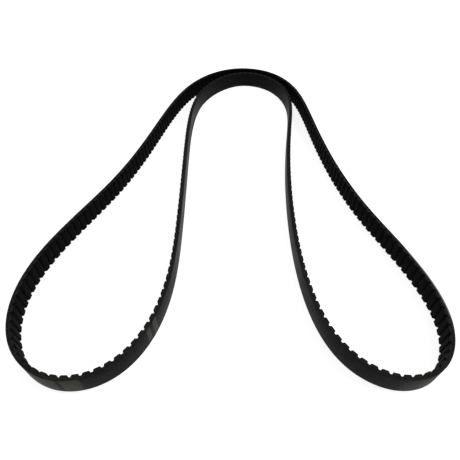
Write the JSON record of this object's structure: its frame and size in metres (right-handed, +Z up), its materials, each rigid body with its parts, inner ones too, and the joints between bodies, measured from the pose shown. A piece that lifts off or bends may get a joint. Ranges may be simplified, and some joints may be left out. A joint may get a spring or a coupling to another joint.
{
  "type": "timing belt",
  "caption": "Endless toothed timing belt with trapezoidal teeth inside and a smooth rubber back, standing on its edge in a horseshoe with two teardrop lobes.",
  "frame": {"origin": "centre of the belt's outline on the surface that its lower edge stands on", "axes": "+X to the right lobe's side, +Y from the lobes to the crown, +Z up across the belt's width"},
  "size_m": [0.4414, 0.5984, 0.025],
  "materials": {
    "backing_rubber": "smooth ground rubber, satin, slightly dusty",
    "tensile_cord": "twisted glass fibre cord, dull",
    "tooth_rubber": "moulded and cut rubber, matt",
    "facing_fabric": "tight woven nylon, impregnated, matt with a faint sheen"
  },
  "bodies": {
    "right_outer_lower": {"right_outer_lower_backing": "backing_rubber", "right_outer_lower_tensile_cords": "tensile_cord", "right_outer_lower_teeth": "tooth_rubber", "right_outer_lower_facing": "facing_fabric"},
    "right_outer_upper": {"right_outer_upper_backing": "backing_rubber", "right_outer_upper_tensile_cords": "tensile_cord", "right_outer_upper_teeth": "tooth_rubber", "right_outer_upper_facing": "facing_fabric"},
    "outer_crown": {"outer_crown_backing": "backing_rubber", "outer_crown_tensile_cords": "tensile_cord", "outer_crown_teeth": "tooth_rubber", "outer_crown_facing": "facing_fabric"},
    "left_outer_upper": {"left_outer_upper_backing": "backing_rubber", "left_outer_upper_tensile_cords": "tensile_cord", "left_outer_upper_teeth": "tooth_rubber", "left_outer_upper_facing": "facing_fabric"},
    "left_outer_lower": {"left_outer_lower_backing": "backing_rubber", "left_outer_lower_tensile_cords": "tensile_cord", "left_outer_lower_teeth": "tooth_rubber", "left_outer_lower_facing": "facing_fabric"},
    "left_lobe_outer": {"left_lobe_outer_backing": "backing_rubber", "left_lobe_outer_tensile_cords": "tensile_cord", "left_lobe_outer_teeth": "tooth_rubber", "left_lobe_outer_facing": "facing_fabric"},
    "left_lobe_inner": {"left_lobe_inner_backing": "backing_rubber", "left_lobe_inner_tensile_cords": "tensile_cord", "left_lobe_inner_teeth": "tooth_rubber", "left_lobe_inner_facing": "facing_fabric"},
    "left_inner_lower": {"left_inner_lower_backing": "backing_rubber", "left_inner_lower_tensile_cords": "tensile_cord", "left_inner_lower_teeth": "tooth_rubber", "left_inner_lower_facing": "facing_fabric"},
    "left_inner_upper": {"left_inner_upper_backing": "backing_rubber", "left_inner_upper_tensile_cords": "tensile_cord", "left_inner_upper_teeth": "tooth_rubber", "left_inner_upper_facing": "facing_fabric"},
    "inner_crown": {"inner_crown_backing": "backing_rubber", "inner_crown_tensile_cords": "tensile_cord", "inner_crown_teeth": "tooth_rubber", "inner_crown_facing": "facing_fabric"},
    "right_inner_upper": {"right_inner_upper_backing": "backing_rubber", "right_inner_upper_tensile_cords": "tensile_cord", "right_inner_upper_teeth": "tooth_rubber", "right_inner_upper_facing": "facing_fabric"},
    "right_inner_lower": {"right_inner_lower_backing": "backing_rubber", "right_inner_lower_tensile_cords": "tensile_cord", "right_inner_lower_teeth": "tooth_rubber", "right_inner_lower_facing": "facing_fabric"},
    "right_lobe_inner": {"right_lobe_inner_backing": "backing_rubber", "right_lobe_inner_tensile_cords": "tensile_cord", "right_lobe_inner_teeth": "tooth_rubber", "right_lobe_inner_facing": "facing_fabric"},
    "right_lobe_outer": {"right_lobe_outer_backing": "backing_rubber", "right_lobe_outer_tensile_cords": "tensile_cord", "right_lobe_outer_teeth": "tooth_rubber", "right_lobe_outer_facing": "facing_fabric"}
  },
  "joints": [
    {"name": "left_leg_swing", "type": "hinge", "parent": "outer_crown", "child": "left_outer_upper", "pos_m": [-0.03863, 0.26947, 0.0125], "axis": [0, 0, 1], "range_deg": [-7, 7], "stiffness_Nm_per_rad": 0.06},
    {"name": "left_outer_bend", "type": "hinge", "parent": "left_outer_upper", "child": "left_outer_lower", "pos_m": [-0.12148, 0.0689, 0.0125], "axis": [0, 0, 1], "range_deg": [-3.3, 3.3]},
    {"name": "left_lobe_outer_bend", "type": "hinge", "parent": "left_outer_lower", "child": "left_lobe_outer", "pos_m": [-0.20647, -0.14431, 0.0125], "axis": [0, 0, 1], "range_deg": [-5.9, 5.9]},
    {"name": "left_lobe_tip_bend", "type": "hinge", "parent": "left_lobe_outer", "child": "left_lobe_inner", "pos_m": [-0.13873, -0.29706, 0.0125], "axis": [0, 0, 1], "range_deg": [-7, 7]},
    {"name": "left_lobe_inner_bend", "type": "hinge", "parent": "left_lobe_inner", "child": "left_inner_lower", "pos_m": [-0.0599, -0.16261, 0.0125], "axis": [0, 0, 1], "range_deg": [-4.4, 4.4]},
    {"name": "left_inner_bend", "type": "hinge", "parent": "left_inner_lower", "child": "left_inner_upper", "pos_m": [-0.06159, 0.04735, 0.0125], "axis": [0, 0, 1], "range_deg": [-0.9, 0.9]},
    {"name": "left_crown_bend", "type": "hinge", "parent": "left_inner_upper", "child": "inner_crown", "pos_m": [-0.01661, 0.25648, 0.0125], "axis": [0, 0, 1], "range_deg": [-6.2, 6.2]},
    {"name": "right_leg_swing", "type": "hinge", "parent": "outer_crown", "child": "right_outer_upper", "pos_m": [0.08735, 0.2723, 0.0125], "axis": [0, 0, 1], "range_deg": [-4.5, 4.5], "stiffness_Nm_per_rad": 0.06},
    {"name": "right_outer_bend", "type": "hinge", "parent": "right_outer_upper", "child": "right_outer_lower", "pos_m": [0.13993, 0.07294, 0.0125], "axis": [0, 0, 1], "range_deg": [-5.9, 5.9]},
    {"name": "right_lobe_outer_bend", "type": "hinge", "parent": "right_outer_lower", "child": "right_lobe_outer", "pos_m": [0.19267, -0.1295, 0.0125], "axis": [0, 0, 1], "range_deg": [-6.8, 6.8]},
    {"name": "right_lobe_tip_bend", "type": "hinge", "parent": "right_lobe_outer", "child": "right_lobe_inner", "pos_m": [0.16452, -0.29694, 0.0125], "axis": [0, 0, 1], "range_deg": [-5.4, 5.4]},
    {"name": "right_lobe_inner_bend", "type": "hinge", "parent": "right_lobe_inner", "child": "right_inner_lower", "pos_m": [0.08216, -0.17742, 0.0125], "axis": [0, 0, 1], "range_deg": [-0.2, 0.2]},
    {"name": "right_inner_bend", "type": "hinge", "parent": "right_inner_lower", "child": "right_inner_upper", "pos_m": [0.08516, 0.01229, 0.0125], "axis": [0, 0, 1], "range_deg": [-5.1, 5.1]}
  ],
  "couplings": [
    {"joint": "left_outer_bend", "follows": "left_leg_swing", "ratio": 0.4559},
    {"joint": "left_lobe_outer_bend", "follows": "left_leg_swing", "ratio": -0.8292},
    {"joint": "left_lobe_tip_bend", "follows": "left_leg_swing", "ratio": 0.9797},
    {"joint": "left_lobe_inner_bend", "follows": "left_leg_swing", "ratio": -0.6141},
    {"joint": "left_inner_bend", "follows": "left_leg_swing", "ratio": -0.1201},
    {"joint": "left_crown_bend", "follows": "left_leg_swing", "ratio": -0.8722},
    {"joint": "right_outer_bend", "follows": "right_leg_swing", "ratio": 1.2904},
    {"joint": "right_lobe_outer_bend", "follows": "right_leg_swing", "ratio": -1.478},
    {"joint": "right_lobe_tip_bend", "follows": "right_leg_swing", "ratio": 1.1858},
    {"joint": "right_lobe_inner_bend", "follows": "right_leg_swing", "ratio": -0.0311},
    {"joint": "right_inner_bend", "follows": "right_leg_swing", "ratio": -1.1081}
  ]
}
